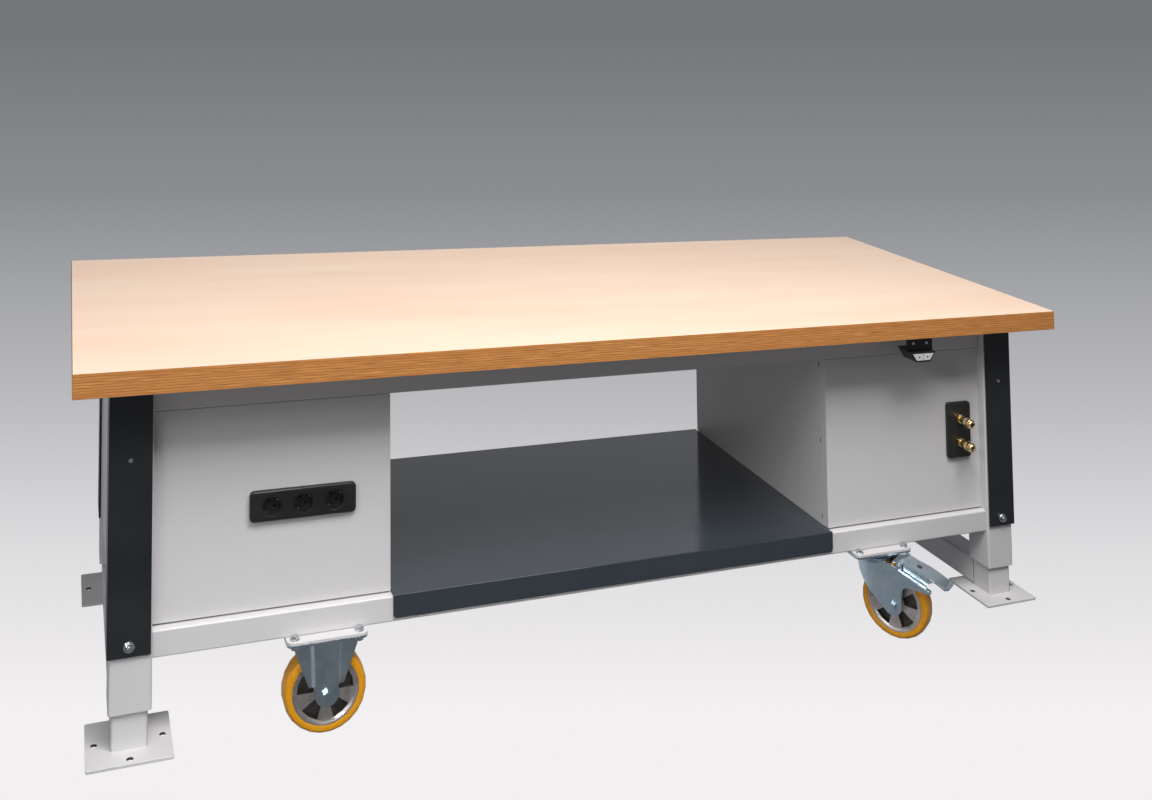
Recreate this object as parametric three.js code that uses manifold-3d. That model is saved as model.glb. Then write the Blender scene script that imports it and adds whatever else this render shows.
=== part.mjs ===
// Mobile, height-adjustable assembly table, in millimetres, +Z up.
// The origin is on the floor under the middle of the tabletop; the front is -Y and the left is -X.
// It is drawn standing on its casters, with the telescopic feet drawn up.
import * as THREE from 'three';
import { mergeVertices } from 'three/addons/utils/BufferGeometryUtils.js';
import Module from 'manifold-3d';

const wasm = await Module();
wasm.setup();

// Fits
const seatGap = 0.3; // between pieces that rest on each other
const runningGap = 0.4; // between a shaft and what turns or slides on it
const cutMargin = 2; // how far a cutter runs past the face it opens
const weldSink = 1; // how far one welded shape reaches into the next

// Tabletop
const tableLength = 2500;
const tableWidth = 1000;
const tableHeight = 844;
const topThickness = 50;
const topEdgeBreak = 1.5;

// Outer legs and the lift rams inside them
const legInsetX = 75;
const legInsetY = 110.5;
const legSize = 85;
const legWall = 4;
const legCorner = 6;
const legGroundGap = 119;
const legHeadPlate = 8;
const liftTravel = 300;
const ramOverlap = 110;
const ramOuterRadius = 20;
const rodRadius = 14;

// Feet
const footGroundGap = 38;
const footPlateSize = 168;
const footPlateThickness = 6;
const footPlateCorner = 4;
const footHoleRadius = 7;
const footHoleInset = 17;
const footTubeSize = 71;
const footTubeWall = 3;
const footTubeCorner = 6;
const footTubeOverlap = 220;
const guideCollarHeight = 40;

// Leg covers
const coverSheet = 3.2;
const coverStandoff = 3;
const coverGroundGap = 234;
const coverInnerStep = 3;

// Rails
const topRailHeight = 79;
const topRailDepth = 40;
const topRailInset = 23.5;
const endRailHeight = 60;
const endRailDepth = 60;
const endInset = 3;
const baseRailHeight = 56;
const baseRailDepth = 60;
const baseRailInset = 7;
const railWall = 3;
const railCorner = 4;

// Cabinets
const bayWidth = 1168;
const panelSheet = 2;
const panelDepth = 15;
const panelLift = 4;
const frontPanelInset = 25.5;
const backPanelInset = 10.5;
const endPanelDepth = 12;
const slotLength = 14;
const slotWidth = 5;
const slotSetback = 14;
const slotEndMargin = 20;
const pilotHoleRadius = 2.5;
const pilotHoleRow = 210;

// Shelf
const shelfSheet = 4;
const shelfLipHeight = 51.5;
const shelfLipInset = 2;
const shelfLipCorner = 8;
const shelfSideGap = 1;

// Mains outlet
const outletHeight = 498;
const socketFromBay = 195;
const socketFrameLength = 230;
const socketFrameHeight = 65;
const socketFrameThickness = 11;
const socketFrameCorner = 9;
const socketEdgeBreak = 2.5;
const socketSpacing = 68;
const socketRadius = 22;
const socketWellRadius = 19.5;
const socketWellDepth = 17.5;
const socketFloor = 8;
const socketPinRadius = 2.7;
const socketPinSpread = 9.5;
const socketRibWidth = 6;
const socketRibHeight = 2;

// Compressed-air outlet
const airFromLeg = 76;
const airPlateWidth = 80;
const airPlateHeight = 151;
const airPlateThickness = 10;
const airPlateCorner = 8;
const airEdgeBreak = 2.5;
const airSpacing = 63;
const couplingShankRadius = 8;
const couplingHexRadius = 13;
const couplingHexLength = 8;
const couplingCoreRadius = 8.6;
const couplingNoseRadius = 10.5;
const couplingNoseLength = 6;
const couplingLength = 56;
const couplingBoreRadius = 5;
const couplingBoreDepth = 32;
const sleeveRadius = 13;
const sleeveLength = 20;
const sleeveGroove = 1.4;
const sleeveTravel = 6;
const sleeveRestGap = 0.5;

// Hand switch
const switchX = 817;
const switchSetback = 35;
const switchSheet = 3;
const switchWidth = 83;
const switchBracketHeight = 40;
const switchTopFlange = 50;
const switchBottomFlange = 40;
const switchFaceTop = 81;
const switchFaceBottom = 46;
const switchFaceHeight = 26;
const switchDepth = 55;
const switchRim = 4;
const switchOverhang = 15;
const buttonTravel = 2;
const buttonProud = 1;
const buttonThickness = 2.7;
const buttonGap = 1.2;

// Wheels
const wheelDiameter = 180;
const tyreThickness = 18;
const tyreWidth = 50;
const tyreShoulder = 6;
const rimWidth = 46;
const rimRing = 7;
const rimDish = 4;
const hubRadius = 21;
const hubCollar = 3;
const axleRadius = 8;
const axleHeadRadius = 10.5;
const axleHeadLength = 9;
const spokeCount = 5;
const spokeStart = 54;
const pocketAngle = 38;
const pocketWeb = 8;
const pocketHubGap = 5;
const pocketRimGap = 3;

// Casters
const casterFromLeg = 359;
const casterHeadroom = 32;
const mountPlateThickness = 6;
const casterPlateLength = 175;
const casterPlateWidth = 112;
const casterPlateThickness = 5;
const casterPlateCorner = 12;
const casterBoltLength = 140;
const casterBoltWidth = 82;
const casterBoltRadius = 6;
const forkGap = 68;
const forkSheet = 5;
const tongueRadius = 26;
const fixedWebTop = 28;
const fixedWebBottom = 25;
const fixedWingTop = 76;
const fixedWingBottom = 38;
const fixedWingDepth = 8;
const fixedBendRun = 7;
const fixedWingRise = 17;

// Swivel head, fork and brake
const swivelHeading = 56.5; // of the trail, turned outwards from +X
const swivelTrail = 65;
const swivelRadius = 50;
const swivelCup = 10;
const crownThickness = 10;
const kingpinRadius = 9;
const kingpinNutRadius = 15;
const kingpinNutLength = 8;
const forkBendRise = 66;
const forkArmReach = 106;
const forkArmHeight = 32;
const forkArmLift = 56;
const forkFlange = 6;
const forkFlangeSheet = 4;
const forkBendDrop = 17;
const pedalPivotX = 85;
const pedalPivotDrop = 11;
const pedalPinRadius = 4;
const pedalBossRadius = 7.5;
const pedalSheet = 4;
const pedalReach = 129;
const pedalDrop = 34;
const pedalWidth = 60;
const pedalFlange = 12;
const pedalFlangeSheet = 3.2;
const pedalTipWidth = 56;
const pedalHoleRadius = 8;
const pedalSideGap = 3;

// Lift power unit
const tankLength = 260;
const tankWidth = 170;
const tankHeight = 130;
const tankCorner = 12;
const tankFromBay = 120;
const motorRadius = 55;
const motorLength = 200;

// Finishes
function finish(color, roughness, metalness) {
  return new THREE.MeshStandardMaterial({ color, roughness, metalness });
}
const greyPaint = finish(0xc6c7c6, 0.45, 0);
const darkPaint = finish(0x272c33, 0.35, 0);
const beech = finish(0xe9cda8, 0.5, 0);
const blackPlastic = finish(0x17181a, 0.4, 0);
const greyPlastic = finish(0xb9bbbb, 0.5, 0);
const brass = finish(0xb9924a, 0.3, 1);
const zinc = finish(0x8e979d, 0.4, 1);
const aluminium = finish(0x9c958f, 0.45, 1);
const amberTyre = finish(0xc68a1c, 0.4, 0);

// Places worked out from the sizes above
const halfLength = tableLength / 2;
const halfWidth = tableWidth / 2;
const topUnderside = tableHeight - topThickness;
const frameTop = topUnderside - seatGap;
const legX = halfLength - legInsetX - legSize / 2;
const legY = halfWidth - legInsetY - legSize / 2;
const legFace = legY + legSize / 2;
const legInnerX = legX - legSize / 2;
const legInnerY = legY - legSize / 2;
const endFace = halfLength - legInsetX - endInset;
const casterX = legInnerX - casterFromLeg;
const casterHeight = wheelDiameter + casterHeadroom;
const mountPlateBottom = casterHeight + seatGap;
const baseRailBottom = mountPlateBottom + mountPlateThickness;
const baseRailTop = baseRailBottom + baseRailHeight;
const baseRailFace = legFace - baseRailInset;
const casterY = baseRailFace - baseRailDepth / 2;
const topRailBottom = frameTop - topRailHeight;
const topRailFace = legFace - topRailInset;
const panelBottom = baseRailTop + panelLift;
const panelTop = topRailBottom - seatGap;
const frontPanelFace = legFace - frontPanelInset;
const backPanelFace = legFace - backPanelInset;
const bayHalf = bayWidth / 2;
const cabinetEnd = legInnerX - seatGap;
const floorBottom = baseRailTop + seatGap;
const floorTop = floorBottom + panelSheet;
const axleHeight = wheelDiameter / 2;
const rimRadius = wheelDiameter / 2 - tyreThickness;
const casterPlateBottom = casterHeight - casterPlateThickness;
const sides = [['left', -1], ['right', 1]];
const rows = [['front', -1], ['back', 1]];

// Shape helpers
const arcSteps = 1;

function solidOf(geometry) {
  const bare = geometry.clone();
  bare.deleteAttribute('normal');
  bare.deleteAttribute('uv');
  const merged = mergeVertices(bare, 1e-3);
  return new wasm.Manifold(new wasm.Mesh({
    numProp: 3,
    vertProperties: new Float32Array(merged.attributes.position.array),
    triVerts: new Uint32Array(merged.index.array),
  }));
}

function geometryOf(solid) {
  const { vertProperties, triVerts } = solid.getMesh();
  const geometry = new THREE.BufferGeometry();
  geometry.setAttribute('position', new THREE.BufferAttribute(vertProperties, 3));
  geometry.setIndex(new THREE.BufferAttribute(triVerts, 1));
  return geometry;
}

function join(first, ...others) {
  return geometryOf(others.reduce((solid, other) => solid.add(solidOf(other)), solidOf(first)));
}

function cut(first, ...cutters) {
  return geometryOf(cutters.reduce((solid, other) => solid.subtract(solidOf(other)), solidOf(first)));
}

function common(first, second) {
  return geometryOf(solidOf(first).intersect(solidOf(second)));
}

function box(x0, x1, y0, y1, z0, z1) {
  const geometry = new THREE.BoxGeometry(x1 - x0, y1 - y0, z1 - z0);
  return geometry.translate((x0 + x1) / 2, (y0 + y1) / 2, (z0 + z1) / 2);
}

function outline(points) {
  return new THREE.Shape(points.map(([u, v]) => new THREE.Vector2(u, v)));
}

function traceRoundedRect(path, width, height, radius, u = 0, v = 0) {
  const a = width / 2 - radius;
  const b = height / 2 - radius;
  path.moveTo(u + a + radius, v - b);
  path.absarc(u + a, v + b, radius, 0, Math.PI / 2);
  path.absarc(u - a, v + b, radius, Math.PI / 2, Math.PI);
  path.absarc(u - a, v - b, radius, Math.PI, 1.5 * Math.PI);
  path.absarc(u + a, v - b, radius, 1.5 * Math.PI, 2 * Math.PI);
  return path;
}

function roundedRect(width, height, radius, u = 0, v = 0) {
  return traceRoundedRect(new THREE.Shape(), width, height, radius, u, v);
}

function tubeSection(width, height, wall, radius) {
  const section = roundedRect(width, height, radius);
  const inner = Math.max(radius - wall, wall / 2);
  section.holes.push(traceRoundedRect(new THREE.Path(), width - 2 * wall, height - 2 * wall, inner));
  return section;
}

// A shape drawn in X and Y, raised along Z.
function raise(shape, z0, z1, curveSegments = arcSteps) {
  const geometry = new THREE.ExtrudeGeometry(shape, { depth: z1 - z0, bevelEnabled: false, curveSegments });
  return geometry.translate(0, 0, z0);
}

// A shape drawn in X and Z, pushed along Y.
function pushY(shape, y0, y1, curveSegments = arcSteps) {
  const geometry = new THREE.ExtrudeGeometry(shape, { depth: y1 - y0, bevelEnabled: false, curveSegments });
  return geometry.rotateX(Math.PI / 2).translate(0, y1, 0);
}

// A shape drawn in Y and Z, pushed along X.
function pushX(shape, x0, x1, curveSegments = arcSteps) {
  const geometry = new THREE.ExtrudeGeometry(shape, { depth: x1 - x0, bevelEnabled: false, curveSegments });
  const turn = new THREE.Matrix4().set(0, 0, 1, 0, 1, 0, 0, 0, 0, 1, 0, 0, 0, 0, 0, 1);
  return geometry.applyMatrix4(turn).translate(x0, 0, 0);
}

// A slab whose front edge is broken all round: its face looks to -Y at y0.
function facePlate(shape, y0, y1, edgeBreak) {
  const geometry = new THREE.ExtrudeGeometry(shape, {
    depth: y1 - y0 - edgeBreak,
    bevelEnabled: true,
    bevelThickness: edgeBreak,
    bevelSize: edgeBreak,
    bevelOffset: -edgeBreak,
    bevelSegments: 1,
    curveSegments: arcSteps,
  });
  const slab = geometry.rotateX(Math.PI / 2).translate(0, y1, 0);
  const wide = 2 * tableLength;
  return cut(slab, box(-wide, wide, y1, y1 + wide, -wide, wide));
}

function rodY(radius, y0, y1, segments = 16) {
  return new THREE.CylinderGeometry(radius, radius, y1 - y0, segments).translate(0, (y0 + y1) / 2, 0);
}

function postZ(radius, z0, z1, segments = 16) {
  const geometry = new THREE.CylinderGeometry(radius, radius, z1 - z0, segments);
  return geometry.rotateX(Math.PI / 2).translate(0, 0, (z0 + z1) / 2);
}

// A closed profile of [radius, height] points, turned about Y. Radii are across flats, with a flat below.
function turnY(profile, segments) {
  const half = Math.PI / segments;
  const points = [...profile, profile[0]].map(([r, h]) => new THREE.Vector2(r / Math.cos(half), h));
  return new THREE.LatheGeometry(points, segments, half);
}

// A skin through closed rings of points that all have the same count, capped at both ends.
function loft(rings) {
  const count = rings[0].length;
  const caps = THREE.ShapeUtils.triangulateShape(rings[0].map(([u, v]) => new THREE.Vector2(u, v)), []);
  const triangles = [];
  caps.forEach(([a, b, c]) => triangles.push(a, c, b));
  for (let level = 0; level < rings.length - 1; level += 1) {
    for (let i = 0; i < count; i += 1) {
      const a = level * count + i;
      const b = level * count + (i + 1) % count;
      triangles.push(a, b, b + count, a, b + count, a + count);
    }
  }
  const last = (rings.length - 1) * count;
  caps.forEach(([a, b, c]) => triangles.push(last + a, last + b, last + c));
  const geometry = new THREE.BufferGeometry();
  geometry.setAttribute('position', new THREE.Float32BufferAttribute(rings.flat(2), 3));
  geometry.setIndex(triangles);
  return geometry;
}

const table = new THREE.Group();

function place(name, geometry, material, parent = table) {
  const mesh = new THREE.Mesh(geometry, material);
  mesh.name = name;
  parent.add(mesh);
  return mesh;
}

// Tabletop: a thick board with its arrises broken
function tabletop() {
  const shape = outline([
    [-halfLength, -halfWidth], [halfLength, -halfWidth], [halfLength, halfWidth], [-halfLength, halfWidth],
  ]);
  const board = new THREE.ExtrudeGeometry(shape, {
    depth: topThickness - 2 * topEdgeBreak,
    bevelThickness: topEdgeBreak,
    bevelSize: topEdgeBreak,
    bevelOffset: -topEdgeBreak,
    bevelSegments: 1,
  });
  return board.translate(0, 0, topUnderside + topEdgeBreak);
}
place('tabletop', tabletop(), beech);

// Outer leg: a square tube open below, with a head plate that carries the ram barrel
const ramLength = liftTravel + ramOverlap;
const headPlateBottom = frameTop - legHeadPlate;

function outerLeg() {
  const cavity = legSize / 2 - legWall;
  const tube = cut(
    raise(roundedRect(legSize, legSize, legCorner), legGroundGap, frameTop),
    box(-cavity, cavity, -cavity, cavity, legGroundGap - cutMargin, headPlateBottom),
  );
  const barrel = cut(
    postZ(ramOuterRadius, headPlateBottom - ramLength, headPlateBottom + weldSink, 10),
    postZ(rodRadius + runningGap, headPlateBottom - ramLength - cutMargin, headPlateBottom - legHeadPlate, 10),
  );
  return join(tube, barrel);
}

// Foot: plate with anchor holes, inner tube with its guide collar, and the ram rod
const footPlateTop = footGroundGap + footPlateThickness;
const footTubeTop = legGroundGap + liftTravel + footTubeOverlap;
const rodTop = headPlateBottom - 2 * legHeadPlate;

function foot() {
  const plate = raise(roundedRect(footPlateSize, footPlateSize, footPlateCorner), footGroundGap, footPlateTop);
  const reach = footPlateSize / 2 - footHoleInset;
  const holes = [[reach, 0], [-reach, 0], [0, -reach]].map(([x, y]) => (
    postZ(footHoleRadius, footGroundGap - cutMargin, footPlateTop + cutMargin, 8).translate(x, y, 0)
  ));
  const weld = footPlateTop - weldSink;
  const tube = raise(tubeSection(footTubeSize, footTubeSize, footTubeWall, footTubeCorner), weld, footTubeTop);
  const collarSize = legSize - 2 * legWall - 2 * runningGap;
  const collar = cut(
    box(-collarSize / 2, collarSize / 2, -collarSize / 2, collarSize / 2, footTubeTop - guideCollarHeight, footTubeTop),
    postZ(footTubeSize / 2 - footTubeWall, footTubeTop - guideCollarHeight - cutMargin, footTubeTop + cutMargin, 12),
  );
  return join(cut(plate, ...holes), tube, collar, postZ(rodRadius, weld, rodTop, 10));
}

// Leg cover: an angle in front of the leg and along its outer side
function legCover(sideSign, rowSign) {
  const innerEdge = legInnerX + coverInnerStep;
  const flangeInside = legX + legSize / 2 + seatGap;
  const flangeOutside = flangeInside + coverSheet;
  const plateInside = legFace + coverStandoff;
  const plateOutside = plateInside + coverSheet;
  const angle = [
    [innerEdge, plateInside], [flangeInside, plateInside], [flangeInside, legInnerY],
    [flangeOutside, legInnerY], [flangeOutside, plateOutside], [innerEdge, plateOutside],
  ];
  const shape = outline(angle.map(([x, y]) => [sideSign * x, rowSign * y]));
  return raise(shape, coverGroundGap, frameTop);
}

rows.forEach(([row, rowSign]) => sides.forEach(([side, sideSign]) => {
  const corner = `${row}_${side}`;
  place(`leg_${corner}`, outerLeg(), greyPaint).position.set(sideSign * legX, rowSign * legY, 0);
  const outward = place(`foot_${corner}`, foot(), greyPaint);
  outward.position.set(sideSign * legX, rowSign * legY, 0);
  outward.rotation.z = rowSign > 0 ? Math.PI : 0;
  place(`leg_cover_${corner}`, legCover(sideSign, rowSign), darkPaint);
}));

// Cross-beam that ties the front and back foot of one side
function crossBeam() {
  const half = legY - footTubeSize / 2 - seatGap;
  const section = tubeSection(footTubeSize, footTubeSize, footTubeWall, footTubeCorner);
  return pushY(section, -half, half).translate(0, 0, footPlateTop + seatGap + footTubeSize / 2);
}
sides.forEach(([side, sideSign]) => {
  place(`foot_beam_${side}`, crossBeam(), greyPaint).position.x = sideSign * legX;
});

// Top rails: along the front and back, and across both ends
function topRail() {
  const half = legInnerX - seatGap;
  const section = tubeSection(topRailDepth, topRailHeight, railWall, railCorner);
  return pushX(section, -half, half).translate(0, 0, topRailBottom + topRailHeight / 2);
}

function endRail() {
  const half = legInnerY - seatGap;
  const section = tubeSection(endRailDepth, endRailHeight, railWall, railCorner);
  return pushY(section, -half, half).translate(0, 0, frameTop - endRailHeight / 2);
}

rows.forEach(([row, rowSign]) => {
  place(`top_rail_${row}`, topRail(), greyPaint).position.y = rowSign * (topRailFace - topRailDepth / 2);
});
sides.forEach(([side, sideSign]) => {
  place(`top_rail_${side}`, endRail(), greyPaint).position.x = sideSign * (endFace - endRailDepth / 2);
});

// Bolt holes through a caster plate, at the corners of their rectangle
function casterBoltHoles(z0, z1) {
  const across = [-casterBoltLength / 2, casterBoltLength / 2];
  const along = [-casterBoltWidth / 2, casterBoltWidth / 2];
  return across.flatMap((x) => along.map((y) => (
    postZ(casterBoltRadius, z0 - cutMargin, z1 + cutMargin, 6).translate(x, y, 0)
  )));
}

function casterPlate(z0, z1) {
  const shape = roundedRect(casterPlateLength, casterPlateWidth, casterPlateCorner);
  return cut(raise(shape, z0, z1), ...casterBoltHoles(z0, z1));
}

// Base rail with the two mounting plates welded under it
function baseRail() {
  const half = legInnerX - seatGap;
  const section = tubeSection(baseRailDepth, baseRailHeight, railWall, railCorner);
  const tube = pushX(section, -half, half).translate(0, 0, baseRailBottom + baseRailHeight / 2);
  const plates = sides.map(([, sideSign]) => (
    casterPlate(mountPlateBottom, baseRailBottom).translate(sideSign * casterX, 0, 0)
  ));
  const welds = sides.map(([, sideSign]) => {
    const x = sideSign * casterX;
    const reach = casterPlateLength / 2 - casterPlateCorner;
    const depth = baseRailDepth / 2 - railCorner;
    return box(x - reach, x + reach, -depth, depth, baseRailBottom - weldSink, baseRailBottom + weldSink);
  });
  return join(tube, ...plates, ...welds);
}
rows.forEach(([row, rowSign]) => {
  place(`base_rail_${row}`, baseRail(), greyPaint).position.y = rowSign * casterY;
});

// Folded panel: its face looks to -Y at y = 0 and its edges return to +Y
function foldedPanel(width, height, depth) {
  const sheet = panelSheet;
  return cut(
    box(-width / 2, width / 2, 0, depth, 0, height),
    box(-width / 2 + sheet, width / 2 - sheet, sheet, depth + cutMargin, sheet, height - sheet),
  );
}

const cabinetWidth = cabinetEnd - bayHalf;
const cabinetMiddle = (cabinetEnd + bayHalf) / 2;
const panelHeight = panelTop - panelBottom;
const socketX = -(bayHalf + socketFromBay);
const airX = legInnerX - airFromLeg;
const socketOffsets = [-socketSpacing, 0, socketSpacing];
const airOffsets = [['upper', airSpacing / 2], ['lower', -airSpacing / 2]];

function leftFrontPanel() {
  const holes = socketOffsets.map((offset) => (
    rodY(socketRadius + runningGap, -cutMargin, panelSheet + cutMargin, 20)
      .translate(socketX + cabinetMiddle + offset, 0, outletHeight - panelBottom)
  ));
  return cut(foldedPanel(cabinetWidth, panelHeight, panelDepth), ...holes);
}

function rightFrontPanel() {
  const holes = airOffsets.map(([, offset]) => (
    rodY(couplingShankRadius + runningGap, -cutMargin, panelSheet + cutMargin)
      .translate(airX - cabinetMiddle, 0, outletHeight - panelBottom + offset)
  ));
  return cut(foldedPanel(cabinetWidth, panelHeight, panelDepth), ...holes);
}

place('left_front_panel', leftFrontPanel(), greyPaint)
  .position.set(-cabinetMiddle, -frontPanelFace, panelBottom);
place('right_front_panel', rightFrontPanel(), greyPaint)
  .position.set(cabinetMiddle, -frontPanelFace, panelBottom);

sides.forEach(([side, sideSign]) => {
  const back = place(`${side}_back_panel`, foldedPanel(cabinetWidth, panelHeight, panelDepth), greyPaint);
  back.position.set(sideSign * cabinetMiddle, backPanelFace, panelBottom);
  back.rotation.z = Math.PI;
  const endHeight = frameTop - endRailHeight - seatGap - panelBottom;
  const endWidth = 2 * (legInnerY - seatGap);
  const end = place(`${side}_end_panel`, foldedPanel(endWidth, endHeight, endPanelDepth), greyPaint);
  end.position.set(sideSign * endFace, 0, panelBottom);
  end.rotation.z = sideSign * Math.PI / 2;
});

// Inner side panel: notched round the top rails, slotted near the front, folded on into the cabinet floor
function innerPanel(sideSign) {
  const front = -(frontPanelFace - panelDepth - seatGap);
  const back = backPanelFace - panelDepth - seatGap;
  const notch = topRailFace - topRailDepth - seatGap;
  const wallShape = outline([
    [front, floorBottom], [back, floorBottom], [back, panelTop], [notch, panelTop],
    [notch, frameTop], [-notch, frameTop], [-notch, panelTop], [front, panelTop],
  ]);
  const slotY = front + slotSetback;
  [floorTop + slotEndMargin, (floorTop + panelTop) / 2, panelTop - slotEndMargin].forEach((z) => {
    wallShape.holes.push(traceRoundedRect(new THREE.Path(), slotWidth, slotLength, slotWidth / 2.01, slotY, z));
  });
  const pilotRow = floorTop + pilotHoleRow;
  [front / 12, (front + back) / 2 + back / 3, back * 0.75].forEach((y) => {
    wallShape.holes.push(new THREE.Path().absarc(y, pilotRow, pilotHoleRadius, 0, 2 * Math.PI));
  });
  const wallX = [sideSign * bayHalf, sideSign * (bayHalf + panelSheet)].sort((a, b) => a - b);
  const wall = pushX(wallShape, ...wallX);
  const endStop = endFace - endPanelDepth - seatGap;
  const legStop = legInnerY - seatGap;
  const floorShape = outline([
    [bayHalf, front], [cabinetEnd, front], [cabinetEnd, -legStop], [endStop, -legStop],
    [endStop, legStop], [cabinetEnd, legStop], [cabinetEnd, back], [bayHalf, back],
  ].map(([x, y]) => [sideSign * x, y]));
  return join(wall, raise(floorShape, floorBottom, floorTop));
}
sides.forEach(([side, sideSign]) => place(`${side}_inner_panel`, innerPanel(sideSign), greyPaint));

// Shelf: a folded tray whose lips hang over both base rails
function shelf() {
  const reach = legFace - shelfLipInset;
  const top = floorBottom + shelfSheet;
  const lipBottom = top - shelfLipHeight;
  const half = bayHalf - shelfSideGap;
  const tray = pushX(outline([
    [-reach, lipBottom], [-reach + shelfSheet, lipBottom], [-reach + shelfSheet, floorBottom],
    [reach - shelfSheet, floorBottom], [reach - shelfSheet, lipBottom], [reach, lipBottom],
    [reach, top], [-reach, top],
  ]), -half, half);
  const tall = 2 * shelfLipHeight;
  const mask = roundedRect(2 * half, tall, shelfLipCorner, 0, lipBottom + tall / 2);
  return common(tray, pushY(mask, -reach - cutMargin, reach + cutMargin));
}
place('shelf', shelf(), darkPaint);

// Mains outlet: a frame with three round inserts sunk through the panel
const socketGroup = new THREE.Group();
socketGroup.position.set(socketX, -frontPanelFace - seatGap, outletHeight);
table.add(socketGroup);

function socketFrame() {
  const shape = roundedRect(socketFrameLength, socketFrameHeight, socketFrameCorner);
  const slab = facePlate(shape, -socketFrameThickness, 0, socketEdgeBreak);
  const bores = socketOffsets.map((offset) => (
    rodY(socketRadius + seatGap, -socketFrameThickness - cutMargin, cutMargin, 20).translate(offset, 0, 0)
  ));
  return cut(slab, ...bores);
}

function socketInsert() {
  const front = -socketFrameThickness + seatGap;
  const floor = front + socketWellDepth;
  const cup = cut(
    rodY(socketRadius, front, floor + socketFloor, 20),
    rodY(socketWellRadius, front - cutMargin, floor, 20),
  );
  const diagonal = socketPinSpread * Math.SQRT1_2;
  const pins = [[-diagonal, diagonal], [diagonal, -diagonal]].map(([x, z]) => (
    rodY(socketPinRadius, floor - cutMargin, floor + socketFloor + cutMargin, 8).translate(x, 0, z)
  ));
  const ribs = [Math.PI / 4, 5 * Math.PI / 4].map((turn) => {
    const inner = socketWellRadius - socketRibHeight;
    const rib = box(inner, socketWellRadius + weldSink, front + socketRibHeight, floor + weldSink,
      -socketRibWidth / 2, socketRibWidth / 2);
    return rib.rotateY(-turn);
  });
  return join(cut(cup, ...pins), ...ribs);
}

place('socket_frame', socketFrame(), blackPlastic, socketGroup);
['left', 'middle', 'right'].forEach((name, i) => {
  place(`socket_insert_${name}`, socketInsert(), blackPlastic, socketGroup).position.x = socketOffsets[i];
});

// Compressed-air outlet: a plate with two quick couplings
const airGroup = new THREE.Group();
airGroup.position.set(airX, -frontPanelFace - seatGap, outletHeight);
table.add(airGroup);

function airPlate() {
  const shape = roundedRect(airPlateWidth, airPlateHeight, airPlateCorner);
  const slab = facePlate(shape, -airPlateThickness, 0, airEdgeBreak);
  const holes = airOffsets.map(([, offset]) => (
    rodY(couplingShankRadius + seatGap, -airPlateThickness - cutMargin, cutMargin).translate(0, 0, offset)
  ));
  return cut(slab, ...holes);
}

// Distances along a coupling run outwards, to -Y, from the front of the plate.
function couplingBody() {
  const start = -airPlateThickness;
  const hexFront = start - seatGap - couplingHexLength;
  const tip = start - couplingLength;
  const noseBack = tip + couplingNoseLength;
  const shank = rodY(couplingShankRadius, start - couplingHexLength, panelDepth);
  const hex = rodY(couplingHexRadius, hexFront, start - seatGap, 6);
  const core = rodY(couplingCoreRadius, tip + weldSink, hexFront + weldSink);
  const chamfer = couplingNoseRadius - couplingBoreRadius;
  const inside = couplingBoreRadius - weldSink;
  const nose = turnY([
    [inside, tip], [couplingNoseRadius - chamfer / 2, tip], [couplingNoseRadius, tip + chamfer / 2],
    [couplingNoseRadius, noseBack], [inside, noseBack],
  ], 16);
  const bore = rodY(couplingBoreRadius, tip - cutMargin, tip + couplingBoreDepth);
  return cut(join(shank, hex, core, nose), bore);
}

function couplingSleeve() {
  const front = -airPlateThickness - couplingLength + couplingNoseLength + sleeveRestGap;
  const back = front + sleeveLength;
  const bore = couplingCoreRadius + runningGap;
  const waist = sleeveRadius - sleeveGroove;
  return turnY([
    [bore, front], [sleeveRadius, front], [sleeveRadius, front + sleeveLength / 3],
    [waist, front + sleeveLength / 2], [sleeveRadius, back - sleeveLength / 3], [sleeveRadius, back], [bore, back],
  ], 16);
}

place('air_plate', airPlate(), blackPlastic, airGroup);
airOffsets.forEach(([name, offset]) => {
  place(`air_coupling_${name}`, couplingBody(), brass, airGroup).position.z = offset;
  place(`air_coupling_sleeve_${name}`, couplingSleeve(), brass, airGroup).position.z = offset;
});

// Hand switch under the front edge
const switchGroup = new THREE.Group();
switchGroup.position.set(switchX, -(halfWidth - switchSetback), frameTop);
table.add(switchGroup);
const switchTop = -switchBracketHeight - seatGap;
const switchFaceY = -switchOverhang;

function switchBracket() {
  const s = switchSheet;
  const h = switchBracketHeight;
  return pushX(outline([
    [0, 0], [0, -h], [switchBottomFlange, -h], [switchBottomFlange, -h + s], [s, -h + s],
    [s, -s], [switchTopFlange, -s], [switchTopFlange, 0],
  ]), -switchWidth / 2, switchWidth / 2);
}

// The face tapers downwards; an inset gives the pocket and the buttons the same taper.
function switchHalfWidthAt(z, inset) {
  const share = (switchTop - z) / switchFaceHeight;
  return (switchFaceTop + (switchFaceBottom - switchFaceTop) * share) / 2 - inset;
}

function switchTrapezoid(inset, leftShare, rightShare, middleGap) {
  const high = switchTop - inset;
  const low = switchTop - switchFaceHeight + inset;
  const left = (z) => leftShare * switchHalfWidthAt(z, inset) + middleGap * (leftShare === 0);
  const right = (z) => rightShare * switchHalfWidthAt(z, inset) - middleGap * (rightShare === 0);
  return outline([[left(low), low], [right(low), low], [right(high), high], [left(high), high]]);
}

function switchHousing() {
  const body = pushY(switchTrapezoid(0, -1, 1, 0), switchFaceY, switchFaceY + switchDepth);
  const pocketDepth = buttonThickness - buttonProud + buttonTravel + seatGap;
  return cut(body, pushY(switchTrapezoid(switchRim, -1, 1, 0), switchFaceY - cutMargin, switchFaceY + pocketDepth));
}

function switchButton(leftShare, rightShare) {
  const shape = switchTrapezoid(switchRim + runningGap, leftShare, rightShare, buttonGap / 2);
  const front = switchFaceY - buttonProud;
  return facePlate(shape, front, front + buttonThickness, buttonProud / 2);
}

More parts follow.
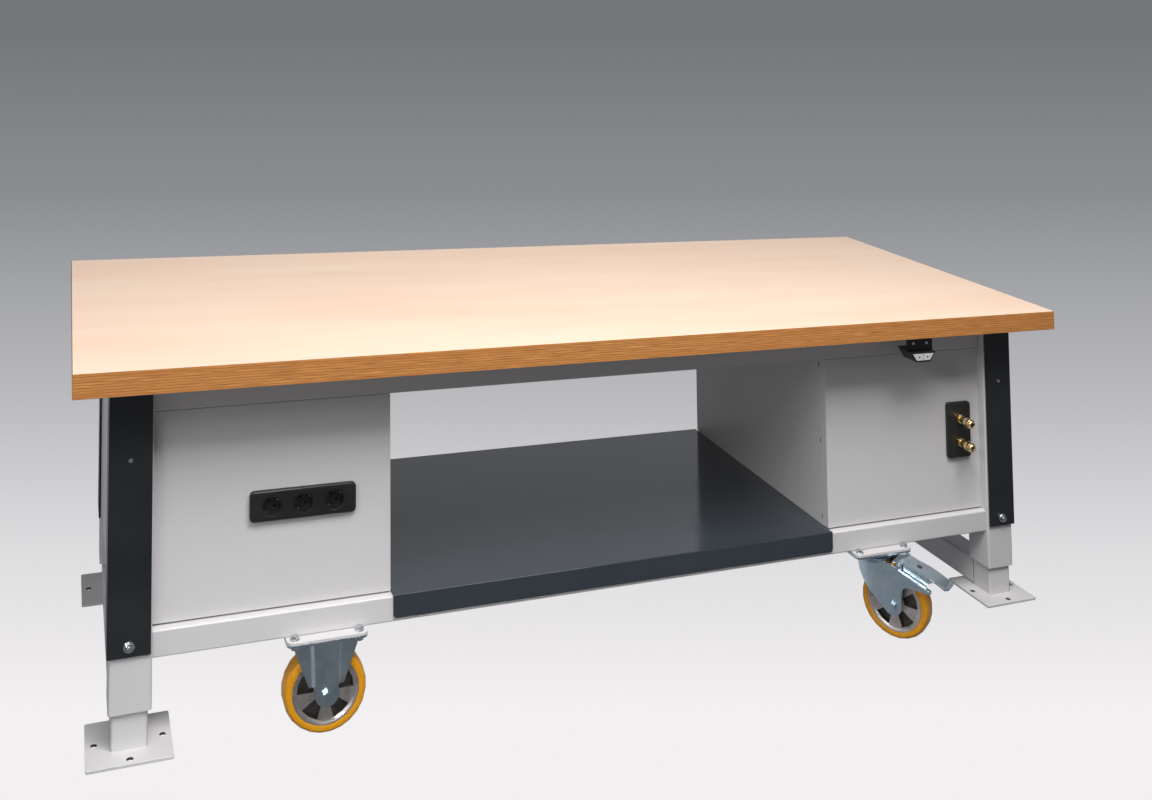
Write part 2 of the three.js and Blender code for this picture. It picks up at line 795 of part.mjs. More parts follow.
place('switch_bracket', switchBracket(), darkPaint, switchGroup);
place('switch_housing', switchHousing(), blackPlastic, switchGroup);
place('switch_button_down', switchButton(-1, 0), greyPlastic, switchGroup);
place('switch_button_up', switchButton(0, 1), greyPlastic, switchGroup);

// Wheel rim: hub, dished disc and outer ring, with wedge pockets sunk from both faces between wide spokes
const hubHalf = forkGap / 2 - runningGap;
const wheelSegments = 24;

function pocket(angle) {
  const half = THREE.MathUtils.degToRad(pocketAngle / 2);
  const inner = hubRadius + pocketHubGap;
  const outer = rimRadius - rimRing - pocketRimGap;
  const shape = new THREE.Shape();
  shape.absarc(0, 0, outer, angle - half, angle + half);
  shape.absarc(0, 0, inner, angle + half, angle - half, true);
  return shape;
}

function wheelRim() {
  const edge = rimWidth / 2;
  const disc = edge - rimDish;
  const ring = rimRadius - rimRing;
  const bore = axleRadius + runningGap;
  const half = [
    [rimRadius, edge], [ring + rimDish / 2, edge], [ring - rimDish / 2, disc],
    [hubRadius + hubCollar, disc], [hubRadius, hubHalf], [bore, hubHalf],
  ];
  const mirrored = half.map(([r, h]) => [r, -h]).reverse();
  const blank = turnY([...mirrored, ...half], wheelSegments);
  const cutters = [];
  for (let i = 0; i < spokeCount; i += 1) {
    const angle = THREE.MathUtils.degToRad(spokeStart + (i + 0.5) * 360 / spokeCount);
    cutters.push(pushY(pocket(angle), pocketWeb / 2, edge + cutMargin));
    cutters.push(pushY(pocket(angle), -edge - cutMargin, -pocketWeb / 2));
  }
  return cut(blank, ...cutters);
}

function wheelTyre() {
  const inner = rimRadius + seatGap;
  const outer = wheelDiameter / 2;
  const edge = tyreWidth / 2;
  const half = [
    [outer, edge - 2 * tyreShoulder], [outer - tyreShoulder / 2, edge - tyreShoulder / 2],
    [outer - 1.4 * tyreShoulder, edge], [inner, rimWidth / 2],
  ];
  const mirrored = half.map(([r, h]) => [r, -h]).reverse();
  return turnY([...mirrored, ...half], wheelSegments);
}

function axleBolt() {
  const face = forkGap / 2 + forkSheet;
  const end = face + axleHeadLength;
  const heads = [[-end, -face + weldSink], [face - weldSink, end]].map(([a, b]) => rodY(axleHeadRadius, a, b, 6));
  return join(rodY(axleRadius, -end + weldSink, end - weldSink), ...heads);
}

// Fixed caster bracket: plate, two cheeks pressed to a hat section, rounded tongues and the axle bolt
function fixedCheek() {
  const outside = forkGap / 2 + forkSheet;
  const wing = outside - fixedWingDepth;
  const ring = (z, web, reach) => {
    const edge = [[-reach, wing], [-web - fixedBendRun, wing], [-web, outside]];
    const half = [...edge, ...edge.map(([x, y]) => [-x, y]).reverse()];
    const inside = [...half].reverse().map(([x, y]) => [x, y - forkSheet]);
    return [...half, ...inside].map(([x, y]) => [x, -y, z]);
  };
  const low = axleHeight + fixedWingRise;
  const pressed = loft([
    ring(low, fixedWebBottom, fixedWingBottom),
    ring(casterPlateBottom + weldSink, fixedWebTop, fixedWingTop),
  ]);
  const tongue = new THREE.Shape();
  tongue.moveTo(fixedWebBottom, low + fixedWingRise);
  tongue.lineTo(-fixedWebBottom, low + fixedWingRise);
  tongue.absarc(0, axleHeight, tongueRadius, Math.PI, 2 * Math.PI);
  return join(pressed, pushY(tongue, -outside, -outside + forkSheet, 5));
}

function fixedBracket() {
  const cheek = fixedCheek();
  const other = cheek.clone().rotateZ(Math.PI);
  return join(casterPlate(casterPlateBottom, casterHeight), cheek, other, axleBolt().translate(0, 0, axleHeight));
}

function addWheel(parent, name) {
  const wheel = new THREE.Group();
  wheel.position.z = axleHeight;
  parent.add(wheel);
  place(`${name}_rim`, wheelRim(), aluminium, wheel);
  place(`${name}_tyre`, wheelTyre(), amberTyre, wheel);
  return wheel;
}

rows.forEach(([row, rowSign]) => {
  const caster = new THREE.Group();
  caster.position.set(-casterX, rowSign * casterY, 0);
  table.add(caster);
  place(`fixed_caster_bracket_${row}`, fixedBracket(), zinc, caster);
  addWheel(caster, `fixed_wheel_${row}`);
});

// Swivel head: plate, bearing cup and kingpin with its nut
const cupBottom = casterPlateBottom - swivelCup;
const crownTop = cupBottom - seatGap;
const crownBottom = crownTop - crownThickness;
const kingpinBottom = crownBottom - seatGap - kingpinNutLength;

function swivelHead() {
  const plate = casterPlate(casterPlateBottom, casterHeight);
  const cup = new THREE.CylinderGeometry(swivelRadius, swivelRadius - swivelCup / 2, swivelCup + weldSink, 24);
  cup.rotateX(Math.PI / 2).translate(0, 0, cupBottom + (swivelCup + weldSink) / 2);
  const pin = postZ(kingpinRadius, kingpinBottom, casterPlateBottom + weldSink);
  const nut = postZ(kingpinNutRadius, kingpinBottom, kingpinBottom + kingpinNutLength, 6);
  return join(plate, cup, pin, nut);
}

// Swivel fork, drawn with the trail along +X: crown, bent front, two cheeks with rear arms, axle and pedal pin
const pedalPivotZ = casterPlateBottom - pedalPivotDrop;

function swivelCheek() {
  const outside = forkGap / 2 + forkSheet;
  const x = swivelTrail;
  const z = axleHeight;
  const armEnd = x + forkArmReach;
  const armLow = z + forkArmLift;
  const armTip = armLow + forkArmHeight / 3;
  const cheek = new THREE.Shape();
  cheek.moveTo(0, crownTop - weldSink);
  cheek.lineTo(0, crownTop - forkBendRise - forkBendDrop);
  cheek.lineTo(x - 2.3 * tongueRadius, z + 0.7 * tongueRadius);
  cheek.absarc(x, z, tongueRadius, 1.2 * Math.PI, 2.05 * Math.PI);
  cheek.lineTo(x + 1.02 * tongueRadius, armLow - 0.9 * tongueRadius);
  cheek.quadraticCurveTo(x + tongueRadius, armLow, x + 1.8 * tongueRadius, armLow);
  cheek.lineTo(armEnd - pedalSheet, armLow);
  cheek.lineTo(armEnd, armLow + pedalSheet);
  cheek.lineTo(armEnd, armTip);
  cheek.lineTo(pedalPivotX, crownTop - crownThickness);
  cheek.lineTo(swivelRadius, crownTop - weldSink);
  const plate = pushY(cheek, -outside, -outside + forkSheet, 4);
  const slope = Math.atan2(armTip - crownBottom, armEnd - pedalPivotX);
  const run = Math.hypot(armTip - crownBottom, armEnd - pedalPivotX);
  const flange = box(0, run, -outside - forkFlange, -outside + weldSink, -forkFlangeSheet, 0);
  flange.rotateY(-slope).translate(pedalPivotX, 0, crownBottom);
  const ear = rodY(pedalBossRadius, -outside, -outside + forkSheet, 10).translate(pedalPivotX, 0, pedalPivotZ);
  const earFoot = box(pedalPivotX - pedalBossRadius, pedalPivotX + pedalBossRadius, -outside, -outside + forkSheet,
    crownBottom - pedalBossRadius, pedalPivotZ);
  return [plate, flange, ear, earFoot];
}

// The sheet runs round the front in a half circle whose lower edge rises forwards.
function forkBend() {
  const inner = forkGap / 2;
  const outer = inner + forkSheet;
  const plan = new THREE.Shape();
  plan.moveTo(weldSink, outer);
  plan.absarc(0, 0, outer, Math.PI / 2, 1.5 * Math.PI);
  plan.lineTo(weldSink, -outer);
  plan.lineTo(weldSink, -inner);
  plan.absarc(0, 0, inner, 1.5 * Math.PI, Math.PI / 2, true);
  plan.lineTo(weldSink, inner);
  const high = crownBottom + weldSink;
  const low = crownTop - forkBendRise - forkBendDrop;
  const side = outline([
    [weldSink + cutMargin, high], [-outer - cutMargin, high], [-outer - cutMargin, crownBottom - forkBendDrop],
    [0, low], [weldSink + cutMargin, low],
  ]);
  return common(raise(plan, low - cutMargin, high + cutMargin, 4), pushY(side, -outer - cutMargin, outer + cutMargin));
}

function mirrorAcross(geometry) {
  const copy = geometry.clone().scale(1, -1, 1);
  const bare = copy.index ? copy.toNonIndexed() : copy;
  const position = bare.attributes.position;
  for (let i = 0; i < position.count; i += 3) {
    const swap = [position.getX(i + 1), position.getY(i + 1), position.getZ(i + 1)];
    position.setXYZ(i + 1, position.getX(i + 2), position.getY(i + 2), position.getZ(i + 2));
    position.setXYZ(i + 2, ...swap);
  }
  return bare;
}

function swivelFork() {
  const nearCheek = swivelCheek();
  const farCheek = nearCheek.map(mirrorAcross);
  const crown = postZ(swivelRadius, crownBottom, crownTop, 24);
  const kingpinHole = postZ(kingpinRadius + runningGap, crownBottom - cutMargin, crownTop + cutMargin);
  const pinEnd = forkGap / 2 + forkSheet + pedalPinRadius / 2;
  const pin = rodY(pedalPinRadius, -pinEnd, pinEnd, 8).translate(pedalPivotX, 0, pedalPivotZ);
  const axle = axleBolt().translate(swivelTrail, 0, axleHeight);
  return join(cut(crown, kingpinHole), ...nearCheek, ...farCheek, forkBend(), pin, axle);
}

// Brake pedal: a bent channel that hangs on the pedal pin, with a pad over the tyre and a rounded toe
function brakePedal() {
  const t = pedalSheet;
  const x = pedalPivotX;
  const z = pedalPivotZ;
  const strip = [[10, 7], [33, 0], [65, -7], [97, -18], [pedalReach - 10, -pedalDrop + 5], [pedalReach, -pedalDrop + 7]];
  const topLine = strip.map(([u, w]) => [x + u, z + w]);
  const underLine = [...strip].reverse().map(([u, w]) => [x + u - t / 4, z + w - t]);
  const profile = outline([[x - 4, z + 7], ...topLine, ...underLine, [x - 4, z + 7 - t]]);
  const bossHalf = forkGap / 2 - pedalSideGap / 2;
  const plan = new THREE.Shape();
  const wide = pedalWidth / 2;
  const tip = pedalTipWidth / 2;
  plan.moveTo(x - pedalBossRadius, -wide);
  plan.lineTo(x + 80, -wide);
  plan.lineTo(x + 100, -tip);
  plan.absarc(x + pedalReach - tip / 2, -tip / 2, tip / 2, -Math.PI / 2, 0);
  plan.absarc(x + pedalReach - tip / 2, tip / 2, tip / 2, 0, Math.PI / 2);
  plan.lineTo(x + 100, tip);
  plan.lineTo(x + 80, wide);
  plan.lineTo(x - pedalBossRadius, wide);
  const blade = common(pushY(profile, -bossHalf, bossHalf), raise(plan, 0, casterHeight, 2));
  const boss = rodY(pedalBossRadius, -bossHalf, bossHalf, 12).translate(x, 0, z);
  const half = t / 2;
  const side = outline([
    [x - 4, z + 7 - half], [x + 10, z + 7 - half], [x + 33, z - half], [x + 65, z - 7 - half], [x + 92, z - 16 - half],
    [x + 70, z - 8 - pedalFlange], [x + 33, z - pedalFlange], [x + 8, z - pedalFlange / 2],
  ]);
  const flanges = [pushY(side, -wide, -wide + pedalFlangeSheet), pushY(side, wide - pedalFlangeSheet, wide)];
  const pad = pushY(outline([[x + 15, z - 15], [x + 31, z - 18], [x + 31, z], [x + 15, z + 3]]), -14, 14);
  const hole = postZ(pedalHoleRadius, z - 10, z + 10, 12).translate(x + 44, 0, 0);
  const bore = rodY(pedalPinRadius + runningGap, -bossHalf - cutMargin, bossHalf + cutMargin, 8).translate(x, 0, z);
  return cut(join(blade, boss, pad, ...flanges), hole, bore);
}

rows.forEach(([row, rowSign]) => {
  const caster = new THREE.Group();
  caster.position.set(casterX, rowSign * casterY, 0);
  table.add(caster);
  place(`swivel_head_${row}`, swivelHead(), zinc, caster);
  const turned = new THREE.Group();
  turned.rotation.z = rowSign * THREE.MathUtils.degToRad(swivelHeading);
  caster.add(turned);
  place(`swivel_fork_${row}`, swivelFork(), zinc, turned);
  place(`brake_pedal_${row}`, brakePedal(), zinc, turned);
  addWheel(turned, `swivel_wheel_${row}`).position.x = swivelTrail;
});

// Lift power unit: tank with the pump motor lying on it, on the right cabinet's floor
function powerUnit() {
  const tank = raise(roundedRect(tankLength, tankWidth, tankCorner), 0, tankHeight);
  const motor = rodY(motorRadius, -motorLength / 2, motorLength / 2).rotateZ(Math.PI / 2);
  return join(tank, motor.translate(0, 0, tankHeight + motorRadius - weldSink));
}
place('lift_power_unit', powerUnit(), darkPaint)
  .position.set(bayHalf + tankFromBay + tankLength / 2, 0, floorTop + seatGap);

export default table;
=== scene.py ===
import math

import bmesh
import bpy
from mathutils import Matrix, Vector


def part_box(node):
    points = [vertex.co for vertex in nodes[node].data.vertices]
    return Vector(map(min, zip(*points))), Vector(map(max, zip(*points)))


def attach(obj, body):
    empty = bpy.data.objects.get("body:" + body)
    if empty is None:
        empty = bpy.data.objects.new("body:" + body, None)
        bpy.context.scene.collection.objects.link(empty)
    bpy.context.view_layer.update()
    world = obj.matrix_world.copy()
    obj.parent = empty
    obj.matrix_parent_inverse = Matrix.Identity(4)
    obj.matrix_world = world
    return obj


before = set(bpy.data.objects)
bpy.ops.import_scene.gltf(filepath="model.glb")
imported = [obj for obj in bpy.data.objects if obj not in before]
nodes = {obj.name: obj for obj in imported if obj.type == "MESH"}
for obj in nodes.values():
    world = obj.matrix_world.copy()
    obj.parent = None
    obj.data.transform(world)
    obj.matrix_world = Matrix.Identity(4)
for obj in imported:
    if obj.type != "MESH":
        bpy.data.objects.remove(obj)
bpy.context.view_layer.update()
scene = bpy.context.scene
millimetre = 0.001
rowSigns = {"front": -1, "back": 1}
sideSigns = {"left": -1, "right": 1}
print("frame loaded")


# Colours and node helpers
def colour(red, green, blue):
    def linear(value):
        share = value / 255
        return share / 12.92 if share <= 0.04045 else ((share + 0.055) / 1.055) ** 2.4

    return (linear(red), linear(green), linear(blue), 1.0)


def addNode(tree, kind, **settings):
    node = tree.nodes.new(kind)
    for name, value in settings.items():
        setattr(node, name, value)
    return node


def joinSockets(tree, source, target):
    tree.links.new(source, target)


def newGroup(name, inputs, outputs):
    tree = bpy.data.node_groups.new(name, "ShaderNodeTree")
    for label, kind, value in inputs:
        socket = tree.interface.new_socket(label, in_out="INPUT", socket_type=kind)
        socket.default_value = value
    for label, kind in outputs:
        tree.interface.new_socket(label, in_out="OUTPUT", socket_type=kind)
    start = addNode(tree, "NodeGroupInput")
    end = addNode(tree, "NodeGroupOutput")
    return tree, start.outputs, end.inputs


def noise(tree, vector, scale, detail=3.0, roughness=0.5):
    node = addNode(tree, "ShaderNodeTexNoise")
    node.inputs["Detail"].default_value = detail
    node.inputs["Roughness"].default_value = roughness
    joinSockets(tree, vector, node.inputs["Vector"])
    if isinstance(scale, float):
        node.inputs["Scale"].default_value = scale
    else:
        joinSockets(tree, scale, node.inputs["Scale"])
    return node.outputs["Fac"]


def remap(tree, value, low, high, toLow, toHigh):
    node = addNode(tree, "ShaderNodeMapRange")
    for label, number in zip(("From Min", "From Max", "To Min", "To Max"), (low, high, toLow, toHigh)):
        node.inputs[label].default_value = number
    joinSockets(tree, value, node.inputs["Value"])
    return node.outputs["Result"]


def calculate(tree, operation, first, second):
    node = addNode(tree, "ShaderNodeMath", operation=operation)
    for socket, value in zip(node.inputs, (first, second)):
        if isinstance(value, (int, float)):
            socket.default_value = value
        else:
            joinSockets(tree, value, socket)
    return node.outputs[0]


def mixColours(tree, share, first, second):
    node = addNode(tree, "ShaderNodeMix", data_type="RGBA")
    for socket, value in ((node.inputs[0], share), (node.inputs[6], first), (node.inputs[7], second)):
        if isinstance(value, (int, float, tuple)):
            socket.default_value = value
        else:
            joinSockets(tree, value, socket)
    return node.outputs[2]


def stretched(tree, vector, scale):
    node = addNode(tree, "ShaderNodeMapping")
    node.inputs["Scale"].default_value = scale
    joinSockets(tree, vector, node.inputs["Vector"])
    return node.outputs["Vector"]


# Coat: a sprayed or moulded surface, with soft mottling, uneven sheen and fine orange peel
def makeCoatGroup():
    tree, given, result = newGroup(
        "Coat",
        [("Colour", "NodeSocketColor", (0.5, 0.5, 0.5, 1)), ("Grain", "NodeSocketFloat", 900.0),
         ("Mottle", "NodeSocketFloat", 0.06), ("Sheen", "NodeSocketFloat", 0.4)],
        [("Colour", "NodeSocketColor"), ("Roughness", "NodeSocketFloat"), ("Height", "NodeSocketFloat")],
    )
    place = addNode(tree, "ShaderNodeTexCoord").outputs["Object"]
    cloud = noise(tree, place, 3.5, 4.0)
    shade = calculate(tree, "MULTIPLY", remap(tree, cloud, 0.25, 0.75, 0.0, 1.0), given["Mottle"])
    joinSockets(tree, mixColours(tree, shade, given["Colour"], (0.12, 0.11, 0.1, 1)), result["Colour"])
    smear = remap(tree, noise(tree, place, 14.0, 5.0), 0.3, 0.7, -0.05, 0.06)
    joinSockets(tree, calculate(tree, "ADD", given["Sheen"], smear), result["Roughness"])
    joinSockets(tree, noise(tree, place, given["Grain"], 1.0), result["Height"])
    return tree


# Metal: plated or cast, with cloudy tone and patchy polish
def makeMetalGroup():
    tree, given, result = newGroup(
        "Metal",
        [("Colour", "NodeSocketColor", (0.5, 0.5, 0.5, 1)), ("Shade", "NodeSocketColor", (0.3, 0.3, 0.3, 1)),
         ("Scale", "NodeSocketFloat", 40.0), ("Sheen", "NodeSocketFloat", 0.35)],
        [("Colour", "NodeSocketColor"), ("Roughness", "NodeSocketFloat")],
    )
    place = addNode(tree, "ShaderNodeTexCoord").outputs["Object"]
    cloud = noise(tree, place, given["Scale"], 5.0, 0.6)
    tone = remap(tree, cloud, 0.35, 0.7, 0.0, 1.0)
    joinSockets(tree, mixColours(tree, tone, given["Colour"], given["Shade"]), result["Colour"])
    polish = remap(tree, noise(tree, place, 40.0, 2.0), 0.3, 0.7, -0.04, 0.05)
    joinSockets(tree, calculate(tree, "ADD", given["Sheen"], polish), result["Roughness"])
    return tree


# Board: pale rotary-cut veneer on the faces, oiled plies with dark glue lines round the edges
def makeBoardGroup(values):
    tree, _, result = newGroup(
        "Board", [],
        [("Colour", "NodeSocketColor"), ("Roughness", "NodeSocketFloat"), ("Height", "NodeSocketFloat")],
    )
    place = addNode(tree, "ShaderNodeTexCoord").outputs["Object"]
    split = addNode(tree, "ShaderNodeSeparateXYZ")
    joinSockets(tree, addNode(tree, "ShaderNodeNewGeometry").outputs["Normal"], split.inputs[0])
    onFace = remap(tree, calculate(tree, "ABSOLUTE", split.outputs["Z"], 0.0), 0.6, 0.8, 0.0, 1.0)

    figure = noise(tree, stretched(tree, place, (0.55, 2.6, 1.0)), 2.2, 6.0, 0.55)
    fibre = noise(tree, stretched(tree, place, (6.0, 160.0, 1.0)), 1.6, 4.0, 0.6)
    face = mixColours(tree, remap(tree, figure, 0.35, 0.68, 0.0, 1.0), values["face"], values["faceShade"])
    face = mixColours(tree, remap(tree, fibre, 0.45, 0.75, 0.0, 0.22), face, values["fibre"])

    height = addNode(tree, "ShaderNodeSeparateXYZ")
    joinSockets(tree, place, height.inputs[0])
    above = calculate(tree, "SUBTRACT", height.outputs["Z"], values["underside"])
    layers = calculate(tree, "MULTIPLY", above, values["plies"] / values["thickness"])
    plies = calculate(tree, "FRACT", layers, 0.0)
    along = stretched(tree, place, (16.0, 16.0, 760.0))
    streak = noise(tree, along, 1.0, 5.0, 0.65)
    tone = noise(tree, stretched(tree, place, (1.2, 1.2, 260.0)), 1.0, 2.0)
    edge = mixColours(tree, remap(tree, streak, 0.42, 0.66, 0.0, 1.0), values["edge"], values["edgeShade"])
    edge = mixColours(tree, remap(tree, tone, 0.35, 0.7, 0.0, 0.8), edge, values["edgeWarm"])
    glue = remap(tree, plies, 0.82, 0.93, 0.0, 0.7)
    edge = mixColours(tree, glue, edge, values["glue"])
    joinSockets(tree, mixColours(tree, onFace, edge, face), result["Colour"])

    sheen = remap(tree, figure, 0.3, 0.7, 0.42, 0.56)
    joinSockets(tree, sheen, result["Roughness"])
    joinSockets(tree, calculate(tree, "ADD", fibre, streak), result["Height"])
    return tree


coatGroup = makeCoatGroup()
metalGroup = makeMetalGroup()
print("effects ready")


def makeMaterial(name, group, values, metallic=0.0, coat=0.0, bump=0.1, grainDepth=0.0002):
    material = bpy.data.materials.new(name)
    material.use_nodes = True
    tree = material.node_tree
    shader = tree.nodes["Principled BSDF"]
    shader.inputs["Metallic"].default_value = metallic
    shader.inputs["Coat Weight"].default_value = coat
    shader.inputs["Coat Roughness"].default_value = 0.12
    effect = addNode(tree, "ShaderNodeGroup", node_tree=group)
    for label, value in values.items():
        effect.inputs[label].default_value = value
    joinSockets(tree, effect.outputs["Colour"], shader.inputs["Base Color"])
    joinSockets(tree, effect.outputs["Roughness"], shader.inputs["Roughness"])
    if bump:
        relief = addNode(tree, "ShaderNodeBump")
        relief.inputs["Strength"].default_value = bump
        relief.inputs["Distance"].default_value = grainDepth
        joinSockets(tree, effect.outputs["Height"], relief.inputs["Height"])
        joinSockets(tree, relief.outputs["Normal"], shader.inputs["Normal"])
    return material


coats = {
    "greyPaint": {"Colour": colour(204, 203, 205), "Grain": 700.0, "Mottle": 0.03, "Sheen": 0.42},
    "darkPaint": {"Colour": colour(20, 24, 30), "Grain": 800.0, "Mottle": 0.1, "Sheen": 0.4},
    "shelfPaint": {"Colour": colour(46, 54, 61), "Grain": 500.0, "Mottle": 0.06, "Sheen": 0.12},
    "blackPlastic": {"Colour": colour(17, 17, 19), "Grain": 1500.0, "Mottle": 0.15, "Sheen": 0.36},
    "greyPlastic": {"Colour": colour(196, 198, 200), "Grain": 1500.0, "Mottle": 0.05, "Sheen": 0.45},
    "tyre": {"Colour": colour(214, 146, 16), "Grain": 90.0, "Mottle": 0.08, "Sheen": 0.36},
}
metals = {
    "zinc": {"Colour": colour(210, 224, 234), "Shade": colour(184, 202, 215), "Scale": 14.0, "Sheen": 0.27},
    "castAluminium": {"Colour": colour(214, 207, 204), "Shade": colour(182, 175, 172), "Scale": 60.0,
                      "Sheen": 0.42},
    # painted shade: darker metal for the rim pockets and the anchor hole walls
    "castPocket": {"Colour": colour(112, 107, 105), "Shade": colour(84, 80, 78), "Scale": 60.0, "Sheen": 0.6},
    "brass": {"Colour": colour(250, 228, 176), "Shade": colour(232, 200, 140), "Scale": 90.0, "Sheen": 0.22},
    "brightSteel": {"Colour": colour(222, 224, 226), "Shade": colour(180, 184, 188), "Scale": 90.0,
                    "Sheen": 0.25},
}
clearCoats = {"shelfPaint": 0.1}
materials = {}
for name, values in coats.items():
    materials[name] = makeMaterial(name, coatGroup, values, coat=clearCoats.get(name, 0.0))
for name, values in metals.items():
    materials[name] = makeMaterial(name, metalGroup, values, metallic=1.0, bump=0.0)

boardLow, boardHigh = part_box("tabletop")
board = {
    "underside": boardLow.z,
    "thickness": boardHigh.z - boardLow.z,
    "plies": 9,
    "face": colour(248, 222, 200),
    "faceShade": colour(241, 210, 186),
    "fibre": colour(233, 199, 170),
    "edge": colour(214, 150, 86),
    "edgeShade": colour(142, 88, 42),
    "edgeWarm": colour(184, 116, 54),
    "glue": colour(80, 46, 22),
}
materials["board"] = makeMaterial("board", makeBoardGroup(board), {}, bump=0.12)
print("materials ready")


# Finishes of the CAD nodes
def finishOf(name):
    if name == "tabletop":
        return "board"
    if name == "shelf":
        return "shelfPaint"
    if name.startswith(("leg_cover", "lift_power", "switch_bracket")):
        return "darkPaint"
    if name.startswith(("socket", "air_plate", "switch_housing")):
        return "blackPlastic"
    if name.startswith("switch_button"):
        return "greyPlastic"
    if name.startswith("air_coupling"):
        return "brass"
    if name.endswith("_rim"):
        return "castAluminium"
    if name.endswith("_tyre"):
        return "tyre"
    if name.startswith(("fixed_caster", "swivel_head", "swivel_fork", "brake_pedal")):
        return "zinc"
    return "greyPaint"


# Edge rounding in millimetres, by the start of the node's name
softEdges = {
    "tabletop": 0.9, "shelf": 2.4, "leg_cover": 1.0, "foot": 0.8, "leg": 0.6, "socket_frame": 1.2,
    "air_plate": 1.2, "switch": 0.6, "brake_pedal": 0.8, "swivel_fork": 0.8, "fixed_caster": 0.8,
    "base_rail": 0.8, "top_rail": 0.6,
}


def edgeWidth(name):
    return next((width for start, width in softEdges.items() if name.startswith(start)), 0.5)


def dress(name, thing):
    thing.data.materials.clear()
    thing.data.materials.append(materials[finishOf(name)])
    weld = thing.modifiers.new("weld", "WELD")
    weld.merge_threshold = 0.00002
    bevel = thing.modifiers.new("edges", "BEVEL")
    bevel.width = edgeWidth(name) * millimetre
    bevel.segments = 2
    bevel.limit_method = "ANGLE"
    bevel.angle_limit = math.radians(48)
    if "custom_normal" in thing.data.attributes:
        thing.data.attributes.remove(thing.data.attributes["custom_normal"])
    for face in thing.data.polygons:
        face.use_smooth = True
    even = thing.modifiers.new("flat faces", "WEIGHTED_NORMAL")
    even.weight = 100
    even.mode = "FACE_AREA"


rimPockets = {"floor": 0.0046, "inner": 0.0255, "outer": 0.0635, "flat": 0.3}


# The pockets of the cast rims get a darker metal than the faces: painted shade in the recesses.
def shadeRimPockets(thing):
    middle = sum((corner.co for corner in thing.data.vertices), Vector()) / len(thing.data.vertices)
    spread = [corner.co - middle for corner in thing.data.vertices]
    turn = math.atan2(2 * sum(at.x * at.y for at in spread), sum(at.x ** 2 - at.y ** 2 for at in spread)) / 2
    axle = Vector((-math.sin(turn), math.cos(turn), 0))
    thing.data.materials.append(materials["castPocket"])
    for face in thing.data.polygons:
        offset = face.center - middle
        depth = offset.dot(axle)
        radius = (offset - axle * depth).length
        deep = abs(depth) < rimPockets["floor"] or abs(face.normal.dot(axle)) < rimPockets["flat"]
        if deep and rimPockets["inner"] < radius < rimPockets["outer"]:
            face.material_index = 1


boltHoles = {"low": 0.037, "high": 0.046, "largest": 0.00006, "steep": 0.3, "fromEdge": 0.012}


# The walls of the anchor holes get the darker metal: painted shade inside the holes.
def shadeBoltHoles(thing):
    thing.data.materials.append(materials["castPocket"])
    low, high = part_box(thing.name)
    edge = boltHoles["fromEdge"]
    for face in thing.data.polygons:
        at = thing.matrix_world @ face.center
        inside = low.x + edge < at.x < high.x - edge and low.y + edge < at.y < high.y - edge
        inPlate = inside and boltHoles["low"] < at.z < boltHoles["high"]
        if inPlate and abs(face.normal.z) < boltHoles["steep"] and face.area < boltHoles["largest"]:
            face.material_index = 1


for name, thing in nodes.items():
    dress(name, thing)
    if name.startswith(("foot_front", "foot_back")):
        shadeBoltHoles(thing)
    if name.endswith("_rim"):
        shadeRimPockets(thing)
print("frame dressed")


# Small pieces that the photograph shows on the frame
def meshPiece(name, build, finish, body):
    mesh = bpy.data.meshes.new(name)
    shape = bmesh.new()
    build(shape)
    shape.to_mesh(mesh)
    shape.free()
    mesh.materials.append(materials[finish])
    piece = bpy.data.objects.new(name, mesh)
    scene.collection.objects.link(piece)
    bevel = piece.modifiers.new("edges", "BEVEL")
    bevel.width = 0.0004
    bevel.segments = 2
    bevel.limit_method = "ANGLE"
    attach(piece, body)
    return piece


def addDisc(shape, centre, axis, radius, length, sides):
    turn = Vector(axis).to_track_quat("Z", "Y").to_matrix().to_4x4()
    middle = Vector(centre) + Vector(axis).normalized() * length / 2
    bmesh.ops.create_cone(shape, cap_ends=True, segments=sides, radius1=radius, radius2=radius, depth=length,
                          matrix=Matrix.Translation(middle) @ turn)


def addBox(shape, low, high):
    middle = (Vector(low) + Vector(high)) / 2
    size = Vector(high) - Vector(low)
    bmesh.ops.create_cube(shape, size=1.0, matrix=Matrix.Translation(middle) @ Matrix.Diagonal((*size, 1)))


casterBolts = {
    "spacing": (0.140, 0.082), "washer": 0.0105, "washerThick": 0.0018, "head": 0.009, "headThick": 0.007,
    "sink": 0.0004, "overPlate": 0.0063, "underPlate": 0.005,
}


def addCasterBolts(name, plateNode, nuts):
    plateLow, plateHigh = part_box(plateNode)
    middle = (plateLow + plateHigh) / 2
    plateTop = plateHigh.z + casterBolts["overPlate"]
    plateUnder = plateHigh.z - casterBolts["underPlate"]

    def build(shape):
        for x in (-0.5, 0.5):
            for y in (-0.5, 0.5):
                spot = (middle.x + x * casterBolts["spacing"][0], middle.y + y * casterBolts["spacing"][1])
                for level, way in ((plateTop, 1), (plateUnder, -1))[:2 if nuts else 1]:
                    seat = level - way * casterBolts["sink"]
                    thick = casterBolts["washerThick"] + casterBolts["sink"]
                    addDisc(shape, (*spot, seat), (0, 0, way), casterBolts["washer"], thick, 20)
                    addDisc(shape, (*spot, seat + way * thick), (0, 0, way), casterBolts["head"],
                            casterBolts["headThick"], 6)

    meshPiece(name, build, "brightSteel", "frame")


for row in rowSigns:
    addCasterBolts(f"fixed_caster_bolts_{row}", f"fixed_caster_bracket_{row}", True)
    addCasterBolts(f"swivel_caster_bolts_{row}", f"swivel_head_{row}", False)


